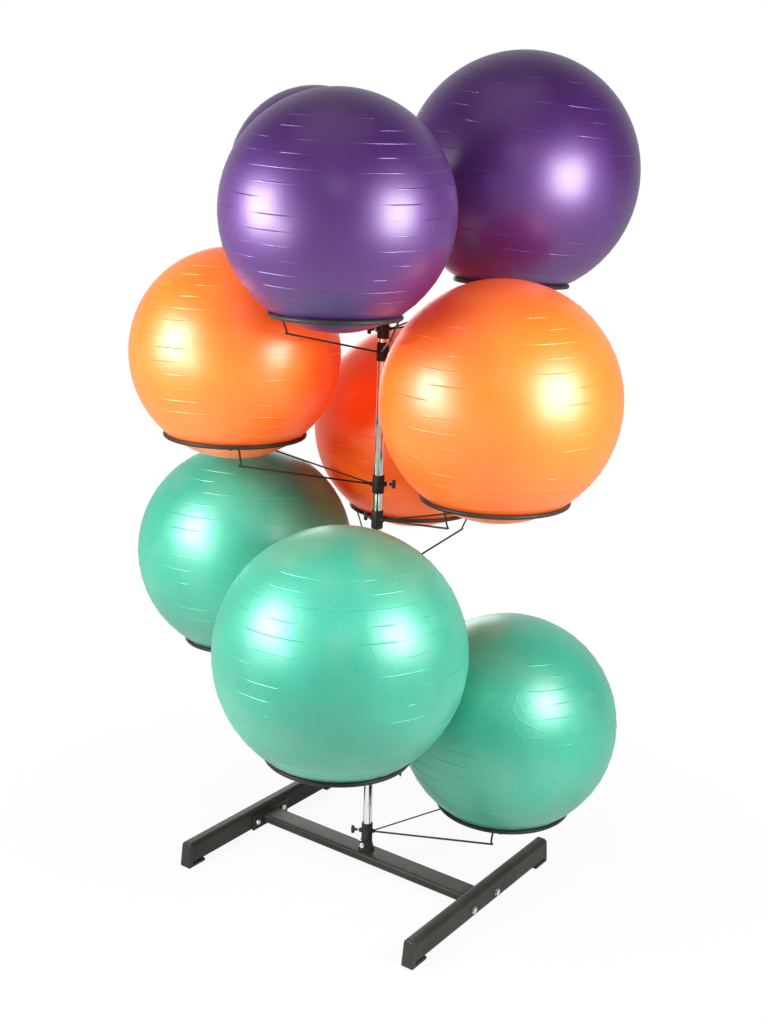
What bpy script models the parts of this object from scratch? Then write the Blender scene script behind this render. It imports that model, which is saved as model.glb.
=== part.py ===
"""Upright rack for nine inflated exercise balls, in metres, +Z up.

The origin is the point on the floor straight under the post. The two floor rails run
along Y and the cross beam between them runs along X.
"""

import math

import bmesh
import bpy
from mathutils import Vector

# Clearances
SEAT_GAP = 0.0003
RUNNING_GAP = 0.0003

# Floor rails: flat-sided oval tube with a moulded cap in each end
RAIL_SPACING = 0.868
RAIL_LENGTH = 0.744
RAIL_WIDTH = 0.040
RAIL_HEIGHT = 0.073
RAIL_CORNER = 0.013
RAIL_WALL = 0.002
CAP_TOP_REACH = 0.0105
CAP_BROW_HEIGHT = 0.016
CAP_TOE_REACH = 0.020
CAP_PLUG_LENGTH = 0.018
CAP_PLUG_CLEARANCE = 0.0004
FOOT_DROP = 0.010
FOOT_LENGTH = 0.055
FOOT_CORNER = 0.006

# Cross beam, and the plate welded to each of its ends and bolted through a rail
BEAM_WIDTH = 0.078
BEAM_HEIGHT = 0.030
BEAM_CORNER = 0.0115
BEAM_WALL = 0.002
BEAM_UNDERSIDE = 0.022
PLATE_LENGTH = 0.180
PLATE_HEIGHT = 0.054
PLATE_CORNER = 0.006
PLATE_THICKNESS = 0.004

# Rail bolts and their nuts
BOLT_SPACING = 0.134
BOLT_RADIUS = 0.004
BOLT_HOLE_CLEARANCE = 0.0005
BOLT_HEAD_RADIUS = 0.0082
BOLT_HEAD_HEIGHT = 0.0046
BOLT_TAIL = 0.0015
NUT_RADIUS = 0.0075
NUT_THICKNESS = 0.0065

# Post, its socket on the beam, its cap, and the screws that clamp it
POST_RADIUS = 0.014
POST_WALL = 0.0015
POST_TOP = 1.870
POST_CAP_DOME = 0.004
POST_CAP_LIP = 0.0008
POST_CAP_PLUG_LENGTH = 0.015
SOCKET_HEIGHT = 0.0375
SOCKET_TOP_WALL = 0.0037
SOCKET_FOOT_WALL = 0.0102
SET_SCREW_RADIUS = 0.004
SET_SCREW_HEIGHT = 0.022
SET_SCREW_HEAD_RADIUS = 0.0078
SET_SCREW_HEAD_HEIGHT = 0.0055

# Holder: a collar on the post, two bent wires and a hoop that the ball sits in
COLLAR_WALL = 0.0037
COLLAR_HEIGHT = 0.055
COLLAR_CHAMFER = 0.0015
SCREW_BOSS_RADIUS = 0.0075
SCREW_BOSS_LENGTH = 0.0075
WIRE_STUB_RADIUS = 0.0065
WIRE_STUB_LENGTH = 0.007
HOOP_RADIUS = 0.205
TOP_HOOP_RADIUS = 0.171
HOOP_RISE = 0.145
HOOP_BAR_RADIUS = 0.0065
WIRE_RADIUS = 0.003
WIRE_START_SPREAD = 0.0024
WIRE_LEAD = 0.004
WIRE_BEND_SETBACK = 0.005
WIRE_BEND_INSET = 0.024
WIRE_BEND_RISE = 0.088
WIRE_BEND_RADIUS = 0.011

# Hand screw: a stud through the collar's boss, with a tee grip
STUD_RADIUS = 0.0036
STUD_REACH = 0.0075
GRIP_NECK_RADIUS = 0.0046
GRIP_NECK_LENGTH = 0.0075
GRIP_BAR_RADIUS = 0.0056
GRIP_BAR_LENGTH = 0.027

# Inflated balls, the largest of which stays clear of the hand screws on the post
BALL_WALL = 0.0011
BALL_CLEARANCE = 0.0218
VALVE_RADIUS = 0.0065

# Facets of round shapes
POST_SIDES = 16
COLLAR_SIDES = 12
HOOP_SIDES = 18
HOOP_BAR_SIDES = 6
BALL_BANDS = 9
SMALL_SIDES = 8
WIRE_BEND_STEPS = 2
CORNER_STEPS = 3

# Holders: name, ball colour, height of the collar's middle, direction from +X round
# the post in degrees, sag of the loaded arm in degrees, and the radii of hoop and ball
HOLDERS = (
    ("green_right", "green", 0.1180, 29.5, 0.0, HOOP_RADIUS, 0.335),
    ("green_front", "green", 0.4430, -66.3, 0.0, HOOP_RADIUS, 0.355),
    ("green_left", "green", 0.6053, -168.7, 4.0, HOOP_RADIUS, 0.3395),
    ("orange_back", "orange", 0.9574, 109.9, 0.0, HOOP_RADIUS, 0.333),
    ("orange_right", "orange", 1.1610, -4.6, 0.0, HOOP_RADIUS, 0.334),
    ("orange_left", "orange", 1.2700, -141.4, 0.0, HOOP_RADIUS, 0.307),
    ("purple_front", "purple", 1.6690, -71.2, 0.0, TOP_HOOP_RADIUS, 0.305),
    ("purple_right", "purple", 1.7345, 63.7, 2.0, TOP_HOOP_RADIUS, 0.353),
    ("purple_back", "purple", 1.7930, 157.3, 0.0, TOP_HOOP_RADIUS, 0.270),
)

# Places that follow from the sizes above
RAIL_X = RAIL_SPACING / 2
RAIL_MIDDLE = FOOT_DROP + RAIL_HEIGHT / 2
PLATE_OUTER_X = RAIL_X - RAIL_WIDTH / 2 - SEAT_GAP
PLATE_INNER_X = PLATE_OUTER_X - PLATE_THICKNESS
BEAM_MIDDLE = BEAM_UNDERSIDE + BEAM_HEIGHT / 2
BEAM_TOP = BEAM_UNDERSIDE + BEAM_HEIGHT
SOCKET_FOOT = BEAM_TOP + SEAT_GAP
SOCKET_TOP_RADIUS = POST_RADIUS + SEAT_GAP + SOCKET_TOP_WALL
SOCKET_FOOT_RADIUS = POST_RADIUS + SEAT_GAP + SOCKET_FOOT_WALL
COLLAR_RADIUS = POST_RADIUS + RUNNING_GAP + COLLAR_WALL
STUD_TIP = POST_RADIUS + SEAT_GAP
GRIP_START = COLLAR_RADIUS + SCREW_BOSS_LENGTH + STUD_REACH
GRIP_MIDDLE = GRIP_START + GRIP_NECK_LENGTH + GRIP_BAR_RADIUS
GRIP_END = GRIP_MIDDLE + GRIP_BAR_RADIUS
LARGEST_BALL = max(radius for *_, radius in HOLDERS)
HOOP_REACH = GRIP_END + BALL_CLEARANCE + LARGEST_BALL
WIRE_BEND_REACH = HOOP_REACH - WIRE_BEND_SETBACK


def material(name, colour, roughness, metallic):
    """A Principled material with one colour."""
    made = bpy.data.materials.new(name)
    made.use_nodes = True
    shader = made.node_tree.nodes["Principled BSDF"]
    shader.inputs["Base Color"].default_value = (*colour, 1.0)
    shader.inputs["Roughness"].default_value = roughness
    shader.inputs["Metallic"].default_value = metallic
    made.diffuse_color = (*colour, 1.0)
    return made


def clear_scene():
    """Removes what the scene holds."""
    for old in list(bpy.data.objects):
        bpy.data.objects.remove(old, do_unlink=True)


def new_collection(name):
    """A collection linked to the scene."""
    made = bpy.data.collections.new(name)
    bpy.context.scene.collection.children.link(made)
    return made


def add_object(name, data, collection):
    """An object of this data in one collection."""
    obj = bpy.data.objects.new(name, data)
    collection.objects.link(obj)
    return obj


def hide_helper(obj):
    """Marks a cutter or a joined piece, which isn't a part by itself."""
    obj.hide_render = True
    obj.display_type = "WIRE"
    return obj


def finish(obj, finish_material, parent=None):
    """Gives a piece its material, smooth round faces and its parent."""
    obj.data.materials.clear()
    obj.data.materials.append(finish_material)
    if obj.type == "MESH" and len(obj.data.polygons) > 0:
        obj.data.shade_smooth()
        obj.data.set_sharp_from_angle(angle=math.radians(35))
    if parent is not None:
        obj.parent = parent
    return obj


def outer_radius(clear_radius, sides):
    """The corner radius of a hole of so many sides that clears a round bar."""
    return clear_radius / math.cos(math.pi / sides)


def mesh_of(obj):
    """Makes an object's evaluated shape a welded mesh object, and drops the object."""
    bpy.context.view_layer.update()
    graph = bpy.context.evaluated_depsgraph_get()
    mesh = bpy.data.meshes.new_from_object(obj.evaluated_get(graph))
    shape = bmesh.new()
    shape.from_mesh(mesh)
    bmesh.ops.remove_doubles(shape, verts=shape.verts, dist=1e-6)
    bmesh.ops.recalc_face_normals(shape, faces=shape.faces)
    shape.to_mesh(mesh)
    shape.free()
    name = obj.name
    place = obj.matrix_world.copy()
    collection = obj.users_collection[0]
    bpy.data.objects.remove(obj, do_unlink=True)
    made = add_object(name, mesh, collection)
    made.matrix_world = place
    return made


def rounded_outline(width, height, top_corner, foot_corner):
    """The points of a rounded rectangle round the origin, anticlockwise."""
    points = []
    corners = (
        (1, 1, top_corner),
        (-1, 1, top_corner),
        (-1, -1, foot_corner),
        (1, -1, foot_corner),
    )
    for quarter, (side, end, radius) in enumerate(corners):
        centre = Vector((side * (width / 2 - radius), end * (height / 2 - radius)))
        for step in range(CORNER_STEPS + 1):
            angle = math.radians(90) * (quarter + step / CORNER_STEPS)
            points.append(centre + radius * Vector((math.cos(angle), math.sin(angle))))
    return points


def circle_outline(centre, radius, sides):
    """The points of a round hole in an outline."""
    turn = math.tau / sides
    return [
        Vector(centre) + radius * Vector((math.cos(turn * i), math.sin(turn * i)))
        for i in range(sides)
    ]


def extrusion(name, outlines, depth, collection):
    """A flat outline, with any holes after it, extruded to a depth about its plane."""
    curve = bpy.data.curves.new(name, "CURVE")
    curve.dimensions = "2D"
    curve.fill_mode = "BOTH"
    curve.extrude = depth / 2
    for points in outlines:
        spline = curve.splines.new("POLY")
        spline.points.add(len(points) - 1)
        for target, point in zip(spline.points, points):
            target.co = (point.x, point.y, 0, 1)
        spline.use_cyclic_u = True
    return mesh_of(add_object(name, curve, collection))


def turned(name, profile, sides, collection, ring=False):
    """A profile of (radius, height) points, outer side from top to bottom, turned."""
    mesh = bpy.data.meshes.new(name)
    count = len(profile)
    edges = [(i, i + 1) for i in range(count - 1)]
    if ring:
        edges.append((count - 1, 0))
    mesh.from_pydata([(radius, 0, height) for radius, height in profile], edges, [])
    obj = add_object(name, mesh, collection)
    screw = obj.modifiers.new("turn", "SCREW")
    screw.axis = "Z"
    screw.steps = sides
    screw.render_steps = sides
    screw.use_merge_vertices = True
    screw.merge_threshold = 0.00001
    return obj


def cylinder(name, radius, start, end, sides, collection):
    """A bar along local Z from start to end."""
    mesh = bpy.data.meshes.new(name)
    shape = bmesh.new()
    bmesh.ops.create_cone(
        shape,
        cap_ends=True,
        segments=sides,
        radius1=radius,
        radius2=radius,
        depth=end - start,
    )
    bmesh.ops.translate(shape, verts=shape.verts, vec=(0, 0, (start + end) / 2))
    shape.to_mesh(mesh)
    shape.free()
    return add_object(name, mesh, collection)


def boolean(target, other, operation):
    """Joins or cuts a piece with a helper."""
    step = target.modifiers.new(other.name, "BOOLEAN")
    step.operation = operation
    step.object = hide_helper(other)
    step.solver = "EXACT"


def rounded_path(corners, radius, steps):
    """A path through corner points, each inner corner rounded to a radius."""
    path = [corners[0]]
    for before, corner, after in zip(corners, corners[1:], corners[2:]):
        back = (before - corner).normalized()
        ahead = (after - corner).normalized()
        half = back.angle(ahead) / 2
        centre = corner + (back + ahead).normalized() * radius / math.sin(half)
        first = (corner + back * radius / math.tan(half) - centre).normalized()
        last = (corner + ahead * radius / math.tan(half) - centre).normalized()
        for step in range(steps + 1):
            path.append(centre + first.slerp(last, step / steps) * radius)
    path.append(corners[-1])
    return path


def tube(name, path, radius, resolution, collection):
    """A round bar along a path of straight steps."""
    curve = bpy.data.curves.new(name, "CURVE")
    curve.dimensions = "3D"
    curve.bevel_depth = radius
    curve.bevel_resolution = resolution
    curve.use_fill_caps = True
    spline = curve.splines.new("POLY")
    spline.points.add(len(path) - 1)
    for target, point in zip(spline.points, path):
        target.co = (*point, 1)
    return mesh_of(add_object(name, curve, collection))


def build_materials():
    """One finish for each kind of surface."""
    return {
        "powder_coat": material("powder_coat", (0.035, 0.033, 0.032), 0.45, 0.0),
        "collar": material("collar_black", (0.022, 0.022, 0.022), 0.55, 0.0),
        "moulding": material("cap_moulding", (0.045, 0.042, 0.040), 0.6, 0.0),
        "grip": material("grip_black", (0.02, 0.02, 0.02), 0.5, 0.0),
        "chrome": material("post_chrome", (0.80, 0.79, 0.76), 0.12, 1.0),
        "zinc": material("bolt_zinc", (0.75, 0.75, 0.73), 0.25, 1.0),
        "green": material("ball_green", (0.02, 0.50, 0.33), 0.3, 0.0),
        "orange": material("ball_orange", (0.90, 0.20, 0.01), 0.3, 0.0),
        "purple": material("ball_purple", (0.22, 0.10, 0.52), 0.3, 0.0),
    }


def build_rails(parts, cutters, finishes):
    """The two floor rails, with bolt holes right through them."""
    outer = rounded_outline(RAIL_WIDTH, RAIL_HEIGHT, RAIL_CORNER, RAIL_CORNER)
    inner = rounded_outline(
        RAIL_WIDTH - 2 * RAIL_WALL,
        RAIL_HEIGHT - 2 * RAIL_WALL,
        RAIL_CORNER - RAIL_WALL,
        RAIL_CORNER - RAIL_WALL,
    )
    hole = outer_radius(BOLT_RADIUS + BOLT_HOLE_CLEARANCE, SMALL_SIDES)
    for side, x in (("left", -RAIL_X), ("right", RAIL_X)):
        rail = extrusion(f"rail_{side}", (outer, inner), RAIL_LENGTH, parts)
        rail.rotation_euler = (math.radians(90), 0, 0)
        rail.location = (x, 0, RAIL_MIDDLE)
        for end in (-1, 1):
            name = f"bolt_hole_{side}_{'near' if end < 0 else 'far'}"
            drill = cylinder(name, hole, -RAIL_WIDTH, RAIL_WIDTH, SMALL_SIDES, cutters)
            drill.rotation_euler = (0, math.radians(90), 0)
            drill.location = (x, end * BOLT_SPACING / 2, BEAM_MIDDLE)
            boolean(rail, drill, "DIFFERENCE")
        finish(rail, finishes["powder_coat"])


def cap_side_view():
    """The side of a cap: outward from the rail's end, and up from the floor."""
    top = FOOT_DROP + RAIL_HEIGHT
    foot_top = FOOT_DROP - SEAT_GAP
    points = [
        (0, foot_top),
        (-FOOT_LENGTH, foot_top),
        (-FOOT_LENGTH, 0),
        (CAP_TOE_REACH - FOOT_CORNER, 0),
        (CAP_TOE_REACH, FOOT_CORNER),
    ]
    for step in range(CORNER_STEPS + 1):
        angle = math.radians(90) * step / CORNER_STEPS
        drop = CAP_BROW_HEIGHT * (1 - math.sin(angle))
        points.append((CAP_TOP_REACH * math.cos(angle), top - drop))
    return [Vector(point) for point in points]


def build_end_caps(parts, cutters, finishes):
    """A cap in each rail end: a leaning face, a plug in the tube and a foot."""
    full_height = FOOT_DROP + RAIL_HEIGHT
    front_view = rounded_outline(RAIL_WIDTH, full_height, RAIL_CORNER, FOOT_CORNER)
    plug_outline = rounded_outline(
        RAIL_WIDTH - 2 * (RAIL_WALL + CAP_PLUG_CLEARANCE),
        RAIL_HEIGHT - 2 * (RAIL_WALL + CAP_PLUG_CLEARANCE),
        RAIL_CORNER - RAIL_WALL - CAP_PLUG_CLEARANCE,
        RAIL_CORNER - RAIL_WALL - CAP_PLUG_CLEARANCE,
    )
    plug_length = CAP_PLUG_LENGTH + CAP_TOP_REACH / 2
    depth = 2 * (FOOT_LENGTH + CAP_TOE_REACH)
    for side, x in (("left", -RAIL_X), ("right", RAIL_X)):
        for end, sign in (("near", -1), ("far", 1)):
            name = f"end_cap_{side}_{end}"
            mouth = sign * (RAIL_LENGTH / 2 + SEAT_GAP)
            cap = extrusion(name, (cap_side_view(),), 2 * RAIL_WIDTH, parts)
            cap.rotation_euler = (math.radians(90), 0, sign * math.radians(90))
            cap.location = (x, mouth, 0)
            front = extrusion(f"{name}_front", (front_view,), depth, cutters)
            front.rotation_euler = (math.radians(90), 0, 0)
            front.location = (x, mouth, full_height / 2)
            boolean(cap, front, "INTERSECT")
            plug = extrusion(f"{name}_plug", (plug_outline,), plug_length, cutters)
            plug.rotation_euler = (math.radians(90), 0, 0)
            inward = (CAP_PLUG_LENGTH - CAP_TOP_REACH / 2) / 2
            plug.location = (x, mouth - sign * inward, RAIL_MIDDLE)
            boolean(cap, plug, "UNION")
            finish(cap, finishes["moulding"])


def build_cross_beam(parts, finishes):
    """The beam between the rails, and the drilled plate at each of its ends."""
    outer = rounded_outline(BEAM_WIDTH, BEAM_HEIGHT, BEAM_CORNER, BEAM_CORNER)
    inner = rounded_outline(
        BEAM_WIDTH - 2 * BEAM_WALL,
        BEAM_HEIGHT - 2 * BEAM_WALL,
        BEAM_CORNER - BEAM_WALL,
        BEAM_CORNER - BEAM_WALL,
    )
    length = 2 * (PLATE_INNER_X - SEAT_GAP)
    beam = extrusion("cross_beam", (outer, inner), length, parts)
    beam.rotation_euler = (math.radians(90), 0, math.radians(90))
    beam.location = (0, 0, BEAM_MIDDLE)
    finish(beam, finishes["powder_coat"])

    outline = rounded_outline(PLATE_LENGTH, PLATE_HEIGHT, PLATE_CORNER, PLATE_CORNER)
    hole = outer_radius(BOLT_RADIUS + BOLT_HOLE_CLEARANCE, SMALL_SIDES)
    holes = [
        circle_outline((end * BOLT_SPACING / 2, 0), hole, SMALL_SIDES)
        for end in (-1, 1)
    ]
    for side, sign in (("left", -1), ("right", 1)):
        plate = extrusion(
            f"flange_plate_{side}", (outline, *holes), PLATE_THICKNESS, parts
        )
        plate.rotation_euler = (math.radians(90), 0, math.radians(90))
        middle = PLATE_OUTER_X - PLATE_THICKNESS / 2
        plate.location = (sign * middle, 0, BEAM_MIDDLE)
        finish(plate, finishes["powder_coat"])


def build_rail_bolts(parts, finishes):
    """Two bolts through each rail and its plate, with the nuts on the plate."""
    grip = RAIL_X + RAIL_WIDTH / 2 - PLATE_INNER_X
    under_head = SEAT_GAP
    tip = -grip - SEAT_GAP - NUT_THICKNESS - BOLT_TAIL
    bolt_profile = (
        (0, under_head + BOLT_HEAD_HEIGHT),
        (BOLT_HEAD_RADIUS * 0.62, under_head + BOLT_HEAD_HEIGHT * 0.86),
        (BOLT_HEAD_RADIUS, under_head + BOLT_HEAD_HEIGHT * 0.3),
        (BOLT_HEAD_RADIUS, under_head),
        (BOLT_RADIUS, under_head),
        (BOLT_RADIUS, tip),
        (0, tip),
    )
    nut_bore = outer_radius(BOLT_RADIUS + RUNNING_GAP, 6)
    nut_profile = (
        (NUT_RADIUS, NUT_THICKNESS / 2),
        (NUT_RADIUS, -NUT_THICKNESS / 2),
        (nut_bore, -NUT_THICKNESS / 2),
        (nut_bore, NUT_THICKNESS / 2),
    )
    for side, sign in (("left", -1), ("right", 1)):
        for end, along in (("near", -1), ("far", 1)):
            y = along * BOLT_SPACING / 2
            bolt = turned(f"rail_bolt_{side}_{end}", bolt_profile, SMALL_SIDES, parts)
            bolt.rotation_euler = (0, sign * math.radians(90), 0)
            bolt.location = (sign * (RAIL_X + RAIL_WIDTH / 2), y, BEAM_MIDDLE)
            finish(bolt, finishes["zinc"])
            nut = turned(f"rail_nut_{side}_{end}", nut_profile, 6, parts, ring=True)
            nut.rotation_euler = (0, sign * math.radians(90), 0)
            inward = PLATE_INNER_X - SEAT_GAP - NUT_THICKNESS / 2
            nut.location = (sign * inward, y, BEAM_MIDDLE)
            finish(nut, finishes["zinc"])


def build_post(parts, cutters, finishes):
    """The post in its tapered socket on the beam, with two clamping screws."""
    bore = outer_radius(POST_RADIUS + SEAT_GAP, POST_SIDES)
    socket_profile = (
        (SOCKET_TOP_RADIUS - COLLAR_CHAMFER, SOCKET_HEIGHT),
        (SOCKET_TOP_RADIUS, SOCKET_HEIGHT - COLLAR_CHAMFER),
        (SOCKET_TOP_RADIUS, SOCKET_HEIGHT * 0.72),
        (SOCKET_FOOT_RADIUS * 0.92, SOCKET_HEIGHT * 0.25),
        (SOCKET_FOOT_RADIUS, 0),
        (bore, 0),
        (bore, SOCKET_HEIGHT),
    )
    socket = turned("post_socket", socket_profile, POST_SIDES, parts, ring=True)
    socket.location = (0, 0, SOCKET_FOOT)

    head = SOCKET_FOOT_RADIUS
    hole = outer_radius(SET_SCREW_RADIUS + RUNNING_GAP, SMALL_SIDES)
    for side, turn in (("front", -math.pi / 2), ("side", math.pi)):
        drill = cylinder(
            f"set_screw_hole_{side}",
            hole,
            POST_RADIUS / 2,
            2 * SOCKET_FOOT_RADIUS,
            SMALL_SIDES,
            cutters,
        )
        shank = cylinder(
            f"set_screw_{side}", SET_SCREW_RADIUS, STUD_TIP, head, SMALL_SIDES, parts
        )
        top = cylinder(
            f"set_screw_head_{side}",
            SET_SCREW_HEAD_RADIUS,
            head - SET_SCREW_HEAD_HEIGHT * 0.1,
            head + SET_SCREW_HEAD_HEIGHT,
            6,
            cutters,
        )
        for piece in (drill, shank, top):
            piece.rotation_euler = (0, math.radians(90), turn)
            piece.location = (0, 0, SOCKET_FOOT + SET_SCREW_HEIGHT)
        boolean(socket, drill, "DIFFERENCE")
        boolean(shank, top, "UNION")
        finish(shank, finishes["zinc"])
    finish(socket, finishes["collar"])

    post_profile = (
        (POST_RADIUS, POST_TOP),
        (POST_RADIUS, SOCKET_FOOT),
        (POST_RADIUS - POST_WALL, SOCKET_FOOT),
        (POST_RADIUS - POST_WALL, POST_TOP),
    )
    post = turned("post", post_profile, POST_SIDES, parts, ring=True)
    finish(post, finishes["chrome"])

    plug = (POST_RADIUS - POST_WALL) * math.cos(math.pi / POST_SIDES) - SEAT_GAP
    lip = POST_RADIUS + POST_CAP_LIP
    cap_profile = (
        (0, POST_CAP_DOME),
        (lip * 0.7, POST_CAP_DOME * 0.75),
        (lip, POST_CAP_DOME * 0.3),
        (lip, 0),
        (plug, 0),
        (plug, -POST_CAP_PLUG_LENGTH),
        (0, -POST_CAP_PLUG_LENGTH),
    )
    cap = turned("post_cap", cap_profile, POST_SIDES, parts)
    cap.location = (0, 0, POST_TOP + SEAT_GAP)
    finish(cap, finishes["collar"])


def build_collar(name, holder, parts, cutters, finishes):
    """The sleeve that slides on the post, with its screw boss and its wire stub."""
    bore = outer_radius(POST_RADIUS + RUNNING_GAP, COLLAR_SIDES)
    half = COLLAR_HEIGHT / 2
    profile = (
        (COLLAR_RADIUS - COLLAR_CHAMFER, half),
        (COLLAR_RADIUS, half - COLLAR_CHAMFER),
        (COLLAR_RADIUS, COLLAR_CHAMFER - half),
        (COLLAR_RADIUS - COLLAR_CHAMFER, -half),
        (bore, -half),
        (bore, half),
    )
    collar = turned(f"collar_{name}", profile, COLLAR_SIDES, parts, ring=True)
    root = (COLLAR_RADIUS + bore) / 2
    boss_end = COLLAR_RADIUS + SCREW_BOSS_LENGTH
    stub_end = COLLAR_RADIUS + WIRE_STUB_LENGTH
    boss = cylinder(
        f"boss_{name}", SCREW_BOSS_RADIUS, root, boss_end, SMALL_SIDES, cutters
    )
    stub = cylinder(
        f"stub_{name}", WIRE_STUB_RADIUS, root, stub_end, SMALL_SIDES, cutters
    )
    hole = outer_radius(STUD_RADIUS + RUNNING_GAP, SMALL_SIDES)
    drill = cylinder(
        f"stud_hole_{name}", hole, POST_RADIUS / 2, 2 * boss_end, SMALL_SIDES, cutters
    )
    steps = ((boss, -90, "UNION"), (stub, 90, "UNION"), (drill, -90, "DIFFERENCE"))
    for piece, tilt, operation in steps:
        piece.rotation_euler = (0, math.radians(tilt), 0)
        piece.parent = holder
        boolean(collar, piece, operation)
    finish(collar, finishes["collar"], holder)


def build_hand_screw(name, holder, parts, cutters, finishes):
    """The clamping stud and its tee grip, on the side away from the hoop."""
    profile = (
        (0, GRIP_MIDDLE),
        (GRIP_NECK_RADIUS, GRIP_MIDDLE),
        (GRIP_NECK_RADIUS, GRIP_START),
        (STUD_RADIUS, GRIP_START),
        (STUD_RADIUS, STUD_TIP),
        (0, STUD_TIP),
    )
    screw = turned(f"hand_screw_{name}", profile, SMALL_SIDES, parts)
    screw.rotation_euler = (0, math.radians(-90), 0)
    half = GRIP_BAR_LENGTH / 2
    grip_profile = (
        (0, half),
        (GRIP_BAR_RADIUS * 0.7, half - GRIP_BAR_RADIUS * 0.25),
        (GRIP_BAR_RADIUS, half - GRIP_BAR_RADIUS),
        (GRIP_BAR_RADIUS, GRIP_BAR_RADIUS - half),
        (GRIP_BAR_RADIUS * 0.7, GRIP_BAR_RADIUS * 0.25 - half),
        (0, -half),
    )
    grip = turned(f"grip_bar_{name}", grip_profile, SMALL_SIDES, cutters)
    grip.location = (-GRIP_MIDDLE, 0, 0)
    grip.parent = holder
    boolean(screw, grip, "UNION")
    finish(screw, finishes["grip"], holder)


def build_hoop(name, hoop_radius, arm, parts, cutters, finishes):
    """The hoop on its two bent wires, as one welded piece."""
    bpy.ops.mesh.primitive_torus_add(
        major_segments=HOOP_SIDES,
        minor_segments=HOOP_BAR_SIDES,
        major_radius=hoop_radius,
        minor_radius=HOOP_BAR_RADIUS,
        location=(0, 0, 0),
    )
    hoop = bpy.context.object
    hoop.name = f"hoop_{name}"
    for collection in list(hoop.users_collection):
        collection.objects.unlink(hoop)
    parts.objects.link(hoop)
    hoop.location = (HOOP_REACH, 0, HOOP_RISE)

    start = COLLAR_RADIUS + WIRE_STUB_LENGTH + SEAT_GAP
    bend_spread = hoop_radius - WIRE_BEND_INSET
    for label, side in (("left", 1), ("right", -1)):
        spread = side * WIRE_START_SPREAD
        root = Vector((start, spread, 0))
        bent = [
            Vector((start + WIRE_LEAD, spread, 0)),
            Vector((WIRE_BEND_REACH, side * bend_spread, WIRE_BEND_RISE)),
            Vector((HOOP_REACH, side * hoop_radius, HOOP_RISE)),
        ]
        path = [root, *rounded_path(bent, WIRE_BEND_RADIUS, WIRE_BEND_STEPS)]
        wire = tube(f"wire_{name}_{label}", path, WIRE_RADIUS, 1, cutters)
        wire.parent = arm
        boolean(hoop, wire, "UNION")
    finish(hoop, finishes["powder_coat"], arm)


def build_ball(name, colour, hoop_radius, radius, arm, parts, finishes):
    """A thin inflated ball seated in the hoop, with its valve opening below."""
    contact = radius + HOOP_BAR_RADIUS + SEAT_GAP
    seat_angle = math.asin(hoop_radius / contact)
    seat_height = HOOP_RISE + math.sqrt(contact**2 - hoop_radius**2)
    valve_angle = math.asin(VALVE_RADIUS / radius)
    below = 2
    above = BALL_BANDS - below
    angles = [math.pi * i / above * (1 - seat_angle / math.pi) for i in range(above)]
    angles += [
        math.pi - seat_angle + (seat_angle - valve_angle) * i / below
        for i in range(below + 1)
    ]
    profile = [
        (radius * math.sin(angle), radius * math.cos(angle)) for angle in angles
    ]
    ball = turned(f"ball_{name}", profile, HOOP_SIDES, parts)
    wall = ball.modifiers.new("wall", "SOLIDIFY")
    wall.thickness = BALL_WALL
    wall.offset = -1
    ball.location = (HOOP_REACH, 0, seat_height)
    finish(ball, finishes[colour], arm)


def build_holders(parts, cutters, finishes):
    """The nine holders round the post, each with its ball."""
    for name, colour, height, direction, sag, hoop_radius, radius in HOLDERS:
        holder = add_object(f"swivel_{name}", None, parts)
        holder.location = (0, 0, height)
        holder.rotation_euler = (0, 0, math.radians(direction))
        arm = add_object(f"arm_{name}", None, parts)
        arm.parent = holder
        arm.rotation_euler = (0, math.radians(sag), 0)
        build_collar(name, holder, parts, cutters, finishes)
        build_hand_screw(name, holder, parts, cutters, finishes)
        build_hoop(name, hoop_radius, arm, parts, cutters, finishes)
        build_ball(name, colour, hoop_radius, radius, arm, parts, finishes)


def main():
    clear_scene()
    parts = new_collection("exercise_ball_rack")
    cutters = new_collection("cutters")
    finishes = build_materials()
    build_rails(parts, cutters, finishes)
    build_end_caps(parts, cutters, finishes)
    build_cross_beam(parts, finishes)
    build_rail_bolts(parts, finishes)
    build_post(parts, cutters, finishes)
    build_holders(parts, cutters, finishes)


main()
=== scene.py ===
"""Dresses the exercise ball rack: ribbed pearl balls, coated frame and chromed post."""

import contextlib
import math

import bmesh
import bpy
from mathutils import Matrix, Vector


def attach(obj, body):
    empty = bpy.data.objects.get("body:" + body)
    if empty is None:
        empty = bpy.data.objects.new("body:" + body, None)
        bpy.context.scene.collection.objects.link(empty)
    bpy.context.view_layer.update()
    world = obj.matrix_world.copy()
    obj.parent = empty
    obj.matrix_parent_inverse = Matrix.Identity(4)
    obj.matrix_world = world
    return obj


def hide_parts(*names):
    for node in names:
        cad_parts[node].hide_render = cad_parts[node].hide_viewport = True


bl_info = {
    "name": "Exercise ball rack",
    "version": (1, 0, 0),
    "blender": (4, 5, 0),
    "location": "3D View > Sidebar > Ball Rack",
    "description": "Builds the visible pieces of a rack that holds nine exercise balls",
    "category": "Object",
}

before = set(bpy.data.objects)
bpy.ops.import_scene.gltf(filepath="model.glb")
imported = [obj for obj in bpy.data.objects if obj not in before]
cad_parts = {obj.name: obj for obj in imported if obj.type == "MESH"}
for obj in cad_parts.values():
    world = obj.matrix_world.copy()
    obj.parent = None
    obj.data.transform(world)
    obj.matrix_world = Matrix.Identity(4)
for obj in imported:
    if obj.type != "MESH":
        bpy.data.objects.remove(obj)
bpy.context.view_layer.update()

UP = Vector((0, 0, 1))
TURNS = {"X": (0, math.pi / 2, 0), "Z": (0, 0, 0)}
SIDES = (("left", -1), ("right", 1))
SEAT_GAP = 0.0003
TOUCH = 1e-5

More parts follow.
